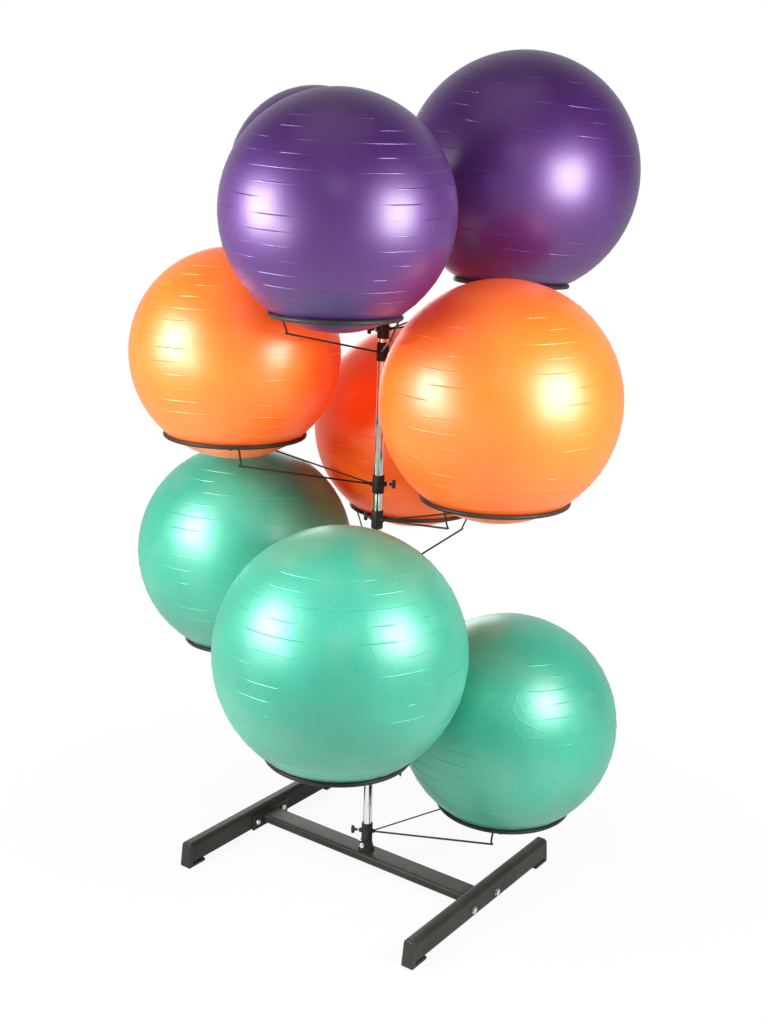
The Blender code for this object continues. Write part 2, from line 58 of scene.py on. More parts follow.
# Floor frame
RAIL_X = 0.434
RAIL_LENGTH = 0.744
RAIL_WIDTH = 0.040
RAIL_HEIGHT = 0.073
RAIL_CORNER = 0.013
FOOT_DROP = 0.010
FOOT_LENGTH = 0.055
CAP_TOP_REACH = 0.0105
CAP_TOE_REACH = 0.020
TUBE_WALL = 0.002
BEAM_WIDTH = 0.078
BEAM_HEIGHT = 0.030
BEAM_CORNER = 0.0115
BEAM_MIDDLE = 0.037
PLATE_LENGTH = 0.180
PLATE_HEIGHT = 0.054
PLATE_THICKNESS = 0.004
PLATE_INNER_X = RAIL_X - RAIL_WIDTH / 2 - SEAT_GAP - PLATE_THICKNESS
BOLT_Y = 0.067
BOLT_RADIUS = 0.004

# Post and its socket
POST_RADIUS = 0.014
POST_WALL = 0.0015
POST_TOP = 1.870
SOCKET_FOOT = 0.0523
SOCKET_HEIGHT = 0.0375
SOCKET_TOP_RADIUS = 0.018
SOCKET_FOOT_RADIUS = 0.0245
SET_SCREW_HEIGHT = 0.022

# Ball holder, in its own frame: +X points from the post to the hoop's middle
COLLAR_RADIUS = 0.018
COLLAR_HEIGHT = 0.055
BOSS_RADIUS = 0.0075
BOSS_END = 0.0255
STUB_RADIUS = 0.0065
STUB_END = 0.025
HOOP_REACH = 0.4285
HOOP_RADIUS = {"green": 0.205, "orange": 0.205, "purple": 0.171}
HOOP_RISE = 0.145
HOOP_BAR_RADIUS = 0.0065
WIRE_RADIUS = 0.003
WIRE_BEND_REACH = 0.4235
WIRE_BEND_INSET = 0.024
WIRE_BEND_RISE = 0.088
WIRE_BEND_RADIUS = 0.011
STUD_RADIUS = 0.0036
GRIP_START = 0.033
GRIP_BAR_X = 0.0461

# Holder: ball colour, height of the collar's middle, direction and sag of the arm,
# radius of the ball, then how far its moulded axis leans towards the front and to the
# right, and how far its plain front panel is turned to the right, all in degrees
HOLDERS = {
    "green_right": ("green", 0.1180, 29.5, 0.0, 0.335, 0, 0, 8),
    "green_front": ("green", 0.4430, -66.3, 0.0, 0.355, 0, 0, -3),
    "green_left": ("green", 0.6053, -168.7, 4.0, 0.3395, -5, 3, -4),
    "orange_back": ("orange", 0.9574, 109.9, 0.0, 0.333, 0, -2, 0),
    "orange_right": ("orange", 1.1610, -4.6, 0.0, 0.334, 3, -1, 7),
    "orange_left": ("orange", 1.2700, -141.4, 0.0, 0.307, -5, 2, -4),
    "purple_front": ("purple", 1.6690, -71.2, 0.0, 0.305, 5, 1, 1),
    "purple_right": ("purple", 1.7345, 63.7, 2.0, 0.353, 4, 6, 16),
    "purple_back": ("purple", 1.7930, 157.3, 0.0, 0.270, 0, -3, 0),
}

# Camera of the photograph
CAMERA_PLACE = Vector((2.2181, -3.0771, 2.1837))
CAMERA_RIGHT = Vector((0.8083, 0.5878, 0.0326))
CAMERA_UP = Vector((-0.1762, 0.1887, 0.9661))
CAMERA_SENSOR = 36.0
CAMERA_LENS = 45.63
CAMERA_SHIFT = (0.001, 0.0014)
BACKDROP_DIRECTION = (-0.57, 0.82, 0.05)


def deselect():
    """Leaves nothing selected."""
    bpy.ops.object.select_all(action="DESELECT")


def take(obj):
    """Selects one object alone and makes it active."""
    deselect()
    obj.select_set(True)
    bpy.context.view_layer.objects.active = obj
    return obj


@contextlib.contextmanager
def shaping(obj, parts="FACE"):
    """Edit mode on one object, choosing among its faces, edges or points."""
    take(obj)
    bpy.ops.object.mode_set(mode="EDIT")
    bpy.ops.mesh.select_mode(type=parts)
    yield
    bpy.ops.object.mode_set(mode="OBJECT")


def choose(test):
    """Selects the parts of the edited mesh that pass a test."""
    bpy.ops.mesh.select_all(action="DESELECT")
    mesh = bpy.context.edit_object.data
    shape = bmesh.from_edit_mesh(mesh)
    points, edges, _ = bpy.context.tool_settings.mesh_select_mode
    parts = shape.verts if points else shape.edges if edges else shape.faces
    chosen = [part for part in parts if test(part)]
    if not chosen:
        raise RuntimeError(f"nothing to shape on {bpy.context.edit_object.name}")
    for part in chosen:
        part.select_set(True)
    shape.select_flush_mode()
    bmesh.update_edit_mesh(mesh)


def middle(part):
    """The middle of a face or an edge."""
    return sum((point.co for point in part.verts), Vector()) / len(part.verts)


def along(edge, axis):
    """Whether an edge runs along an axis of its object."""
    run = (edge.verts[1].co - edge.verts[0].co).normalized()
    return abs(run[axis]) > 0.999


def extrude(by):
    """Pulls the selected faces out by a vector."""
    bpy.ops.mesh.extrude_region_move(TRANSFORM_OT_translate={"value": by})


def stepped(inset, by):
    """Insets the selected faces and pulls their middle out by a vector."""
    bpy.ops.mesh.inset(thickness=inset)
    extrude(by)


def narrow(by):
    """Scales what is selected across Z, about the Z axis."""
    bpy.ops.transform.resize(value=(by, by, 1), center_override=(0, 0, 0))


def cylinder(radius, low, high, sides=48, axis="Z", fill="NGON"):
    """A bar along one axis of its frame, from low to high."""
    place = Vector((0, 0, 0))
    place["XYZ".index(axis)] = (low + high) / 2
    deselect()
    bpy.ops.mesh.primitive_cylinder_add(
        vertices=sides,
        radius=radius,
        depth=high - low,
        end_fill_type=fill,
        location=place,
        rotation=TURNS[axis],
    )
    bpy.ops.object.transform_apply()
    return bpy.context.object


def block(size, place):
    """A cuboid of a size, about a place."""
    deselect()
    bpy.ops.mesh.primitive_cube_add(size=1, location=place, scale=size)
    bpy.ops.object.transform_apply()
    return bpy.context.object


def ring(radius, bar, place, axis="Z", sides=24):
    """A thin round ring, such as a weld bead round a bar."""
    deselect()
    bpy.ops.mesh.primitive_torus_add(
        major_segments=sides,
        minor_segments=8,
        major_radius=radius,
        minor_radius=bar,
        location=place,
        rotation=TURNS[axis],
    )
    bpy.ops.object.transform_apply()
    return bpy.context.object


def soften(obj, width, test, segments=3):
    """Rounds the edges that pass a test."""
    with shaping(obj, "EDGE"):
        choose(test)
        bpy.ops.mesh.bevel(offset=width, segments=segments, affect="EDGES")


def lying_at(axis, *levels):
    """A test for edges or faces that lie in one of some planes across an axis."""

    def lies_there(part):
        return any(all(abs(point.co[axis] - level) < TOUCH for point in part.verts) for level in levels)

    return lies_there


def hollow(obj, thickness):
    """Gives an open shell its wall, inwards."""
    take(obj)
    wall = obj.modifiers.new("wall", "SOLIDIFY")
    wall.thickness = thickness
    wall.offset = -1
    bpy.ops.object.modifier_apply(modifier=wall.name)


def bore(obj, radius, ends):
    """Opens a round hole along Z, given the level and the outer radius of each end."""
    with shaping(obj):
        for level, outer in ends:
            choose(lying_at(2, level))
            bpy.ops.mesh.inset(thickness=outer - radius)
        at_end = lying_at(2, *(level for level, _ in ends))
        choose(lambda face: len(face.verts) > 4 and at_end(face))
        bpy.ops.mesh.bridge_edge_loops()


def joined(first, *others):
    """One object of several."""
    take(first)
    for other in others:
        other.select_set(True)
    bpy.ops.object.join()
    return first


def copied(obj):
    """A copy with a mesh of its own."""
    take(obj)
    bpy.ops.object.duplicate(linked=False)
    return bpy.context.object


def drop(obj):
    """Removes a pattern piece after its copies are made."""
    take(obj)
    bpy.ops.object.delete()


def fit(obj, name, finish, body, nodes=(), place=None, smooth=40):
    """Puts a piece in place for good and ties it to the body that carries it."""
    if place is not None:
        obj.matrix_world = place @ obj.matrix_world
    take(obj)
    bpy.ops.object.transform_apply()
    with shaping(obj):
        bpy.ops.mesh.select_all(action="SELECT")
        bpy.ops.mesh.normals_make_consistent(inside=False)
    bpy.ops.object.shade_smooth_by_angle(angle=math.radians(smooth))
    obj.name = name
    obj.data.name = name
    obj.data.materials.clear()
    obj.data.materials.append(finish_named(finish))
    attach(obj, body)
    if nodes:
        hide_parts(*nodes)
    return obj


def rod(points, radius, bend_radius, sides=12):
    """A round bar through points, with its inner corners bent to a radius."""
    at = points[0]
    heading = (points[1] - at).normalized()
    deselect()
    bpy.ops.mesh.primitive_circle_add(
        vertices=sides,
        radius=radius,
        fill_type="NGON",
        location=at,
        rotation=heading.to_track_quat("Z", "Y").to_euler(),
    )
    bar = bpy.context.object
    with shaping(bar):
        bpy.ops.mesh.select_all(action="SELECT")
        for corner, after in zip(points[1:], points[2:]):
            ahead = (after - corner).normalized()
            turn = heading.angle(ahead)
            short = bend_radius * math.tan(turn / 2)
            first = corner - heading * short
            axis = heading.cross(ahead).normalized()
            extrude(first - at)
            bpy.ops.mesh.spin(
                steps=6,
                angle=turn,
                center=first + axis.cross(heading) * bend_radius,
                axis=axis,
            )
            at = corner + ahead * short
            heading = ahead
        extrude(points[-1] - at)
    return bar


def turned(degrees, axis="Z"):
    """A turn about one axis through the origin."""
    return Matrix.Rotation(math.radians(degrees), 4, axis)


def swivel_place(name):
    """Where a holder's own frame stands."""
    _, height, direction, *_ = HOLDERS[name]
    return Matrix.Translation((0, 0, height)) @ turned(direction)


def arm_place(name):
    """Where a holder's sagging arm stands."""
    return swivel_place(name) @ turned(HOLDERS[name][3], "Y")


def ball_middle(name):
    """The middle of a ball that sits on its hoop, in the arm's frame."""
    colour, _, _, _, radius, *_ = HOLDERS[name]
    contact = radius + HOOP_BAR_RADIUS + SEAT_GAP
    rise = HOOP_RISE + math.sqrt(contact**2 - HOOP_RADIUS[colour] ** 2)
    return Vector((HOOP_REACH, 0, rise))


def moulded_frame(name):
    """The frame of a ball's mould: ribs turn about Z, the plain panel is on +X."""
    *_, forward, aside, panel = HOLDERS[name]
    place = arm_place(name) @ ball_middle(name)
    front = (CAMERA_PLACE - place) * Vector((1, 1, 0))
    front.normalize()
    right = UP.cross(front)
    lean = math.tan(math.radians(forward)) * front
    lean += math.tan(math.radians(aside)) * right
    axis = (UP + lean).normalized()
    turn = math.radians(panel)
    face = math.cos(turn) * front + math.sin(turn) * right
    face = (face - face.dot(axis) * axis).normalized()
    columns = Matrix((face, axis.cross(face), axis)).transposed()
    return Matrix.Translation(place) @ columns.to_4x4()


# Materials


def new_group(name, colours, values):
    """A shader group for a skin, with its inputs and object coordinates."""
    group = bpy.data.node_groups.new(name, "ShaderNodeTree")
    for way, kind, labels in (
        ("INPUT", "NodeSocketColor", colours),
        ("INPUT", "NodeSocketFloat", values),
        ("OUTPUT", "NodeSocketColor", ("Colour",)),
        ("OUTPUT", "NodeSocketFloat", ("Roughness", "Height")),
    ):
        for label in labels:
            group.interface.new_socket(label, in_out=way, socket_type=kind)
    given = group.nodes.new("NodeGroupInput").outputs
    return group, given, group.nodes.new("ShaderNodeTexCoord").outputs["Object"]


def ended(group, *results):
    """The group, with its colour, roughness and height led out."""
    leave = group.nodes.new("NodeGroupOutput")
    for label, result in zip(("Colour", "Roughness", "Height"), results):
        group.links.new(result, leave.inputs[label])
    return group


def noise(tree, coordinates, scale, detail=2.0, stretch=None):
    """A noise texture over object coordinates, stretched if need be."""
    if stretch is not None:
        mapping = tree.nodes.new("ShaderNodeMapping")
        mapping.inputs["Scale"].default_value = stretch
        tree.links.new(coordinates, mapping.inputs["Vector"])
        coordinates = mapping.outputs["Vector"]
    node = tree.nodes.new("ShaderNodeTexNoise")
    node.inputs["Scale"].default_value = scale
    node.inputs["Detail"].default_value = detail
    tree.links.new(coordinates, node.inputs["Vector"])
    return node.outputs["Fac"]


def spread(tree, value, low, high, least=0.0, most=1.0):
    """Maps a value between two limits."""
    node = tree.nodes.new("ShaderNodeMapRange")
    for label, number in zip(("From Min", "From Max", "To Min", "To Max"), (low, high, least, most)):
        node.inputs[label].default_value = number
    tree.links.new(value, node.inputs["Value"])
    return node.outputs["Result"]


def sum_of(tree, first, second, share):
    """First plus a share of second."""
    node = tree.nodes.new("ShaderNodeMath")
    node.operation = "MULTIPLY_ADD"
    node.inputs[1].default_value = share
    tree.links.new(second, node.inputs[0])
    tree.links.new(first, node.inputs[2])
    return node.outputs["Value"]


def worked(tree, operation, first, second):
    """What a math node makes of two values."""
    node = tree.nodes.new("ShaderNodeMath")
    node.operation = operation
    tree.links.new(first, node.inputs[0])
    tree.links.new(second, node.inputs[1])
    return node.outputs["Value"]


def mixed(tree, share, first, second):
    """Two colours mixed by a share."""
    node = tree.nodes.new("ShaderNodeMix")
    node.data_type = "RGBA"
    tree.links.new(share, node.inputs["Factor"])
    tree.links.new(first, node.inputs["A"])
    tree.links.new(second, node.inputs["B"])
    return node.outputs["Result"]


def surfaced(tree, share, first, second, end):
    """Shows two shaders mixed by a share as the surface."""
    either = tree.nodes.new("ShaderNodeMixShader")
    sources = (share, first.outputs[0], second.outputs[0])
    for source, socket in zip(sources, either.inputs):
        tree.links.new(source, socket)
    tree.links.new(either.outputs[0], tree.nodes[end].inputs["Surface"])


def pearl_group():
    """Vinyl with mica in it: cloudy depth, dust films, flow marks, creases, fine skin."""
    group, given, place = new_group(
        "Pearl vinyl",
        ("Colour", "Deep Colour", "Dust Colour"),
        ("Dust", "Roughness", "Creases"),
    )
    cloud = spread(group, noise(group, place, 3.2, 3.0), 0.35, 0.7)
    fleck = spread(group, noise(group, place, 230.0, 1.0), 0.4, 0.75, 0.0, 0.6)
    film = spread(group, noise(group, place, 7.0, 5.0), 0.5, 0.75)
    base = mixed(group, cloud, given["Colour"], given["Deep Colour"])
    base = mixed(group, fleck, base, given["Deep Colour"])
    dust = worked(group, "MULTIPLY", film, given["Dust"])
    colour = mixed(group, dust, base, given["Dust Colour"])
    rough = sum_of(group, given["Roughness"], film, 0.08)
    skin = noise(group, place, 260.0)
    waves = noise(group, place, 16.0, stretch=(1.0, 1.0, 0.35))
    flow = noise(group, place, 6.0, 3.0, (1.0, 1.0, 12.0))
    height = sum_of(group, sum_of(group, waves, skin, 0.02), flow, 0.12)
    cells = group.nodes.new("ShaderNodeTexVoronoi")
    cells.feature = "DISTANCE_TO_EDGE"
    cells.inputs["Scale"].default_value = 19.0
    group.links.new(place, cells.inputs["Vector"])
    line = spread(group, cells.outputs["Distance"], 0.0, 0.07, 1.0, 0.0)
    patch = spread(group, noise(group, place, 4.0), 0.5, 0.62)
    creases = worked(group, "MULTIPLY", line, patch)
    creases = worked(group, "MULTIPLY", creases, given["Creases"])
    return ended(group, colour, rough, sum_of(group, height, creases, 0.35))


def coat_group():
    """A sprayed or moulded skin: fine grain, soft mottling and rubbed spots."""
    group, given, place = new_group("Worn skin", ("Colour", "Rubbed Colour"), ("Grain Size", "Roughness"))
    grain = group.nodes.new("ShaderNodeTexNoise")
    group.links.new(place, grain.inputs["Vector"])
    group.links.new(given["Grain Size"], grain.inputs["Scale"])
    mottle = spread(group, noise(group, place, 9.0, 4.0), 0.4, 0.75, 0.0, 0.5)
    rubbed = spread(group, noise(group, place, 65.0, 4.0), 0.62, 0.74, 0.0, 0.6)
    blotch = sum_of(group, mottle, rubbed, 0.6)
    colour = mixed(group, blotch, given["Colour"], given["Rubbed Colour"])
    rough = sum_of(group, given["Roughness"], rubbed, -0.12)
    return ended(group, colour, rough, grain.outputs["Fac"])


def metal_group():
    """Plated metal: faint cloudiness, fine scuffs and finger marks."""
    group, given, place = new_group("Plated metal", ("Colour", "Dull Colour"), ("Roughness",))
    marks = spread(group, noise(group, place, 40.0, 4.0), 0.5, 0.75)
    scuffs = noise(group, place, 300.0, 3.0, (1.0, 1.0, 0.05))
    colour = mixed(group, marks, given["Colour"], given["Dull Colour"])
    return ended(group, colour, sum_of(group, given["Roughness"], marks, 0.1), scuffs)


def skinned(name, group, values, bump, shader_values):
    """A Principled material whose colour, roughness and bump come from a group."""
    made = bpy.data.materials.new(name)
    made.use_nodes = True
    tree = made.node_tree
    shader = tree.nodes["Principled BSDF"]
    skin = tree.nodes.new("ShaderNodeGroup")
    skin.node_tree = group
    for label, value in values.items():
        skin.inputs[label].default_value = value
    relief = tree.nodes.new("ShaderNodeBump")
    relief.inputs["Distance"].default_value = bump
    tree.links.new(skin.outputs["Colour"], shader.inputs["Base Color"])
    tree.links.new(skin.outputs["Roughness"], shader.inputs["Roughness"])
    tree.links.new(skin.outputs["Height"], relief.inputs["Height"])
    tree.links.new(relief.outputs["Normal"], shader.inputs["Normal"])
    for label, value in shader_values.items():
        shader.inputs[label].default_value = value
    return made


def finish_named(name):
    """A finish that is already made."""
    found = bpy.data.materials.get(name)
    if found is None:
        raise RuntimeError(f"the finish {name} isn't made yet")
    return found


def rgba(colour, share=1.0):
    """A colour with alpha, darkened or lightened by a share."""
    return (*(share * channel for channel in colour), 1.0)


# Settings


COLOUR = {"subtype": "COLOR", "size": 3, "min": 0, "max": 1}
SHARE = {"subtype": "FACTOR", "min": 0, "max": 1}
LENGTH = {"subtype": "DISTANCE", "unit": "LENGTH"}


class BallSettings(bpy.types.PropertyGroup):
    """Sizes and colours of the balls."""

    purple: bpy.props.FloatVectorProperty(
        name="Purple", description="Colour of the top balls", default=(0.102, 0.018, 0.205), **COLOUR
    )
    orange: bpy.props.FloatVectorProperty(
        name="Orange", description="Colour of the middle balls", default=(1.0, 0.23, 0.012), **COLOUR
    )
    green: bpy.props.FloatVectorProperty(
        name="Green", description="Colour of the bottom balls", default=(0.046, 0.49, 0.325), **COLOUR
    )
    # Painted glow: an emission colour that keeps the shaded sides of the orange balls red-orange,
    # standing in for light bounced between them
    glow: bpy.props.FloatVectorProperty(
        name="Orange glow",
        description="Light that the bright orange pigment gives back in the shade",
        default=(1.0, 0.02, 0.0),
        **COLOUR,
    )
    rib_count: bpy.props.IntProperty(
        name="Ribs",
        description="How many raised ribs a ball has from pole to pole",
        min=8,
        max=40,
        default=26,
    )
    rib_height: bpy.props.FloatProperty(
        name="Rib height",
        description="How far a rib stands out",
        min=0,
        max=0.003,
        default=0.0009,
        **LENGTH,
    )
    pearl: bpy.props.FloatProperty(
        name="Pearl", description="How metallic the mica in the vinyl looks", default=0.6, **SHARE
    )


class FrameSettings(bpy.types.PropertyGroup):
    """Finishes of the frame."""

    coat: bpy.props.FloatVectorProperty(
        name="Powder coat",
        description="Colour of the coated steel",
        default=(0.027, 0.0245, 0.021),
        **COLOUR,
    )
    coat_roughness: bpy.props.FloatProperty(
        name="Coat roughness", description="From mirror to matt", default=0.42, **SHARE
    )
    chrome_roughness: bpy.props.FloatProperty(
        name="Chrome roughness", description="From mirror to matt", default=0.05, **SHARE
    )
    weld: bpy.props.FloatProperty(
        name="Weld bead",
        description="Thickness of the weld beads",
        min=0.0005,
        max=0.004,
        default=0.0015,
        **LENGTH,
    )


class StageSettings(bpy.types.PropertyGroup):
    """Lamps and backdrop."""

    softbox_power: bpy.props.FloatProperty(
        name="Softbox power",
        description="Power of each of the two main softboxes",
        subtype="POWER",
        unit="POWER",
        min=0,
        default=88.0,
    )
    fill_strength: bpy.props.FloatProperty(
        name="Fill", description="Brightness of the room's even light", min=0, default=0.28
    )
    room_dimness: bpy.props.FloatProperty(
        name="Room dimness",
        description="How bright the side of the room behind the camera is in reflections",
        default=0.04,
        **SHARE,
    )
    floor_size: bpy.props.FloatProperty(
        name="Floor size", description="Side of the floor", min=2, default=60.0, **LENGTH
    )


# Operators


class PieceOperator:
    """What every operator of this add-on shares."""

    bl_options = {"REGISTER", "UNDO"}


# Vinyl: dust, how pearly it is, how strongly it glows (a painted glow that lifts the orange balls' shade
# towards red-orange) and how creased it is
VINYLS = {
    "purple": (0.02, 1.0, 0.0, 0.15),
    "orange": (0.03, 0.45, 0.4, 0.25),
    "green": (0.12, 0.5, 0.0, 1.0),
}
DEEPER = 0.74
VINYL_SKIN = {"Dust Colour": (0.50, 0.50, 0.47, 1), "Roughness": 0.52}
VINYL_SHEEN = {"Coat Weight": 0.7, "Coat Roughness": 0.36, "Coat IOR": 1.8, "IOR": 1.4}
VINYL_RELIEF = 0.0012
CHROME = ((0.86, 0.85, 0.82), (0.70, 0.69, 0.66))
ZINC = ((0.92, 0.92, 0.89), (0.70, 0.70, 0.66))
RUBBED = 2.2
FINE_GRAIN = 900.0
PLUG_SKIN = {
    "Colour": (0.72, 0.72, 0.69, 1),
    "Rubbed Colour": (0.5, 0.5, 0.48, 1),
    "Grain Size": FINE_GRAIN,
    "Roughness": 0.4,
}


class RACK_OT_finishes(PieceOperator, bpy.types.Operator):
    """Make the finishes that the pieces are given"""

    bl_idname = "rack.finishes"
    bl_label = "Finishes"

    def execute(self, context):
        balls = context.scene.rack_balls
        settings = context.scene.rack_frame
        pearl, coat, metal = pearl_group(), coat_group(), metal_group()
        for label, (dust, pearl_share, glow, creases) in VINYLS.items():
            colour = getattr(balls, label)
            skin = {
                "Colour": rgba(colour),
                "Deep Colour": rgba(colour, DEEPER),
                "Dust": dust,
                "Creases": creases,
                **VINYL_SKIN,
            }
            sheen = {
                "Metallic": balls.pearl * pearl_share,
                # The emission is a painted glow that lifts the shade of the orange balls; purple and
                # green get none
                "Emission Color": rgba(balls.glow),
                "Emission Strength": glow,
                **VINYL_SHEEN,
            }
            skinned(f"{label} vinyl", pearl, skin, VINYL_RELIEF, sheen)
        for name, share, grain, roughness, relief, shine in (
            ("powder coat", 1.0, FINE_GRAIN, settings.coat_roughness, 0.00012, 0.2),
            ("black sleeve", 0.7, FINE_GRAIN, 0.5, 0.00005, 0.3),
            ("black moulding", 1.0, 1400.0, 0.55, 0.0001, 0.4),
        ):
            skin = {
                "Colour": rgba(settings.coat, share),
                "Rubbed Colour": rgba(settings.coat, RUBBED),
                "Grain Size": grain,
                "Roughness": roughness,
            }
            skinned(name, coat, skin, relief, {"Specular IOR Level": shine})
        skinned("white plug", coat, PLUG_SKIN, 0.00005, {"IOR": 1.46})
        for name, colour, dull, roughness, relief in (
            ("chrome plate", *CHROME, settings.chrome_roughness, 0.000004),
            ("zinc plate", *ZINC, 0.32, 0.00002),
        ):
            skin = {"Colour": rgba(colour), "Dull Colour": rgba(dull), "Roughness": roughness}
            skinned(name, metal, skin, relief, {"Metallic": 1.0})
        return {"FINISHED"}


BALL_SEGMENTS = 96
RINGS_PER_RIB = 4
RIB_ROW = 2
ROW_TOUCH = 0.03
RIB_ZONE = (math.radians(16), math.radians(164))
RIB_HALF_WIDTH = 0.0020
POLE_RIBS = 0.3
POLE_RIB_SHARE = 0.35

# Where ribs are broken, in degrees round from the panel's middle: the mean place, how
# far it wanders from rib to rib, how fast, and whether it differs between the two sides
PANEL_RIBS = 3
PANEL_GAP = (22.0, 4.0, 2.4, 1)
OUTER_GAP = (9.0, 9.0, 3.7, 0)
RIB_BREAKS = ((46.0, 12.0, 1.7, -1), (100.0, 25.0, 2.9, 1))
BREAK_HALF_WIDTH = 4.0
CREST_MARGIN = 2.0


def rib_number(point, rings):
    """Which rib a point of the ball lies on, counted from the equator, or None."""
    angle = point.angle(UP)
    step = math.pi / rings
    row = round(angle / step)
    if abs(angle - row * step) > step * ROW_TOUCH or row % RINGS_PER_RIB != RIB_ROW:
        return None
    rib = (row - rings / 2) / RINGS_PER_RIB
    return rib if RIB_ZONE[0] < angle < RIB_ZONE[1] else None


def ribbed_here(point, rib, margin=0.0):
    """Whether a rib is raised here: broken by the plain panels and by short breaks."""
    turn = abs(math.degrees(math.atan2(point.y, point.x)))
    side = 1 if point.y > 0 else -1

    def wandering(mean, swing, pace, sided):
        return mean + swing * math.sin(pace * rib + sided * side)

    gap = wandering(*(PANEL_GAP if abs(rib) < PANEL_RIBS else OUTER_GAP))
    if not gap + margin < turn < 180.0 - gap - margin:
        return False
    breaks = (wandering(*place) for place in RIB_BREAKS)
    return all(abs(turn - place) > BREAK_HALF_WIDTH + margin for place in breaks)


def ribbed_ball(radius, rib_count, rib_height):
    """A ball whose ribs are raised out of its skin."""
    rings = RINGS_PER_RIB * rib_count
    deselect()
    bpy.ops.mesh.primitive_uv_sphere_add(
        segments=BALL_SEGMENTS, ring_count=rings, radius=radius, location=(0, 0, 0)
    )
    ball = bpy.context.object

    def rib_edge(edge):
        ribs = {rib_number(point.co, rings) for point in edge.verts}
        rib = ribs.pop()
        return not ribs and rib is not None and ribbed_here(middle(edge), rib)

    def crest(point, near_pole):
        rib = rib_number(point.co, rings)
        if rib is None or (abs(rib) > rib_count * POLE_RIBS) != near_pole:
            return False
        return ribbed_here(point.co, rib, CREST_MARGIN)

    with shaping(ball, "EDGE"):
        choose(rib_edge)
        bpy.ops.mesh.bevel(offset=RIB_HALF_WIDTH, segments=4, affect="EDGES")
        bpy.ops.mesh.select_mode(type="VERT")
        for near_pole, share in ((False, 1.0), (True, POLE_RIB_SHARE)):
            choose(lambda point: crest(point, near_pole))
            bpy.ops.transform.shrink_fatten(value=rib_height * share)
    return ball


class RACK_OT_balls(PieceOperator, bpy.types.Operator):
    """Make the nine ribbed balls, each seated on its hoop"""

    bl_idname = "rack.balls"
    bl_label = "Balls"

    def execute(self, context):
        settings = context.scene.rack_balls
        for name, (colour, _, _, _, radius, *_) in HOLDERS.items():
            fit(
                ribbed_ball(radius, settings.rib_count, settings.rib_height), f"{name}_ball_skin",
                f"{colour} vinyl", f"ball_{name}", (f"ball_{name}",),
                moulded_frame(name), 80
            )
        return {"FINISHED"}


PLUG_RADIUS = 0.0062
PLUG_BELOW = 0.0016
PLUG_ABOVE = 0.0009
# Width and rise of each step towards the plug's middle
PLUG_STEPS = ((0.0016, 0.0008), (0.0014, -0.0009))
PLUG_ROUNDING = 0.0005


class RACK_OT_valve_plugs(PieceOperator, bpy.types.Operator):
    """Make the plug in the valve under each ball"""

    bl_idname = "rack.valve_plugs"
    bl_label = "Valve plugs"

    def execute(self, context):
        plug = cylinder(PLUG_RADIUS, -PLUG_BELOW, PLUG_ABOVE, 32)
        with shaping(plug):
            choose(lying_at(2, -PLUG_BELOW))
            for width, rise in PLUG_STEPS:
                stepped(width, (0, 0, rise))
        soften(plug, PLUG_ROUNDING, lying_at(2, -PLUG_BELOW), 2)
        for name in HOLDERS:
            foot = ball_middle(name) - Vector((0, 0, HOLDERS[name][4]))
            place = arm_place(name) @ Matrix.Translation(foot)
            fit(copied(plug), f"{name}_valve_plug", "white plug", f"ball_{name}", place=place)
        drop(plug)
        return {"FINISHED"}


WIRE_SPREAD = 0.0024
WIRE_IN_STUB = 0.002
WIRE_LEAD = 0.0043
BEAD_DROP = 0.0068
BEAD_SPREAD = 0.3


def welded_hoop(radius, weld):
    """A hoop and its two bent wires, welded together, in the arm's frame."""
    pieces = []
    for side in (1, -1):
        path = [
            Vector((STUB_END - WIRE_IN_STUB, side * WIRE_SPREAD, 0)),
            Vector((STUB_END + WIRE_LEAD, side * WIRE_SPREAD, 0)),
            Vector((WIRE_BEND_REACH, side * (radius - WIRE_BEND_INSET), WIRE_BEND_RISE)),
            Vector((HOOP_REACH, side * radius, HOOP_RISE)),
        ]
        pieces.append(rod(path, WIRE_RADIUS, WIRE_BEND_RADIUS))
        top = path[-1]
        down = (path[2] - top).normalized()
        bead = ring(WIRE_RADIUS + weld * BEAD_SPREAD, weld, (0, 0, 0), sides=20)
        turn = down.to_track_quat("Z", "Y").to_matrix().to_4x4()
        bead.matrix_world = Matrix.Translation(top + down * BEAD_DROP) @ turn
        pieces.append(bead)
    deselect()
    bpy.ops.mesh.primitive_torus_add(
        major_segments=96,
        minor_segments=14,
        major_radius=radius,
        minor_radius=HOOP_BAR_RADIUS,
        location=(HOOP_REACH, 0, HOOP_RISE),
    )
    return joined(bpy.context.object, *pieces)


class RACK_OT_hoops(PieceOperator, bpy.types.Operator):
    """Make the hoops on their bent and welded wires"""

    bl_idname = "rack.hoops"
    bl_label = "Hoops"

    def execute(self, context):
        weld = context.scene.rack_frame.weld
        patterns = {radius: welded_hoop(radius, weld) for radius in set(HOOP_RADIUS.values())}
        for name, (colour, *_) in HOLDERS.items():
            fit(
                copied(patterns[HOOP_RADIUS[colour]]), f"{name}_hoop_and_wires", "powder coat",
                f"holder_{name}", (f"hoop_{name}",), arm_place(name), 50
            )
        for pattern in patterns.values():
            drop(pattern)
        return {"FINISHED"}


COLLAR_ROOT = 0.0155
COLLAR_BEAD = 0.0168
SLEEVE_ROUNDING = 0.0010
BOSS_DEPTH = 0.006
BOSS_ROUNDING = 0.0008
STUB_ROUNDING = 0.0014


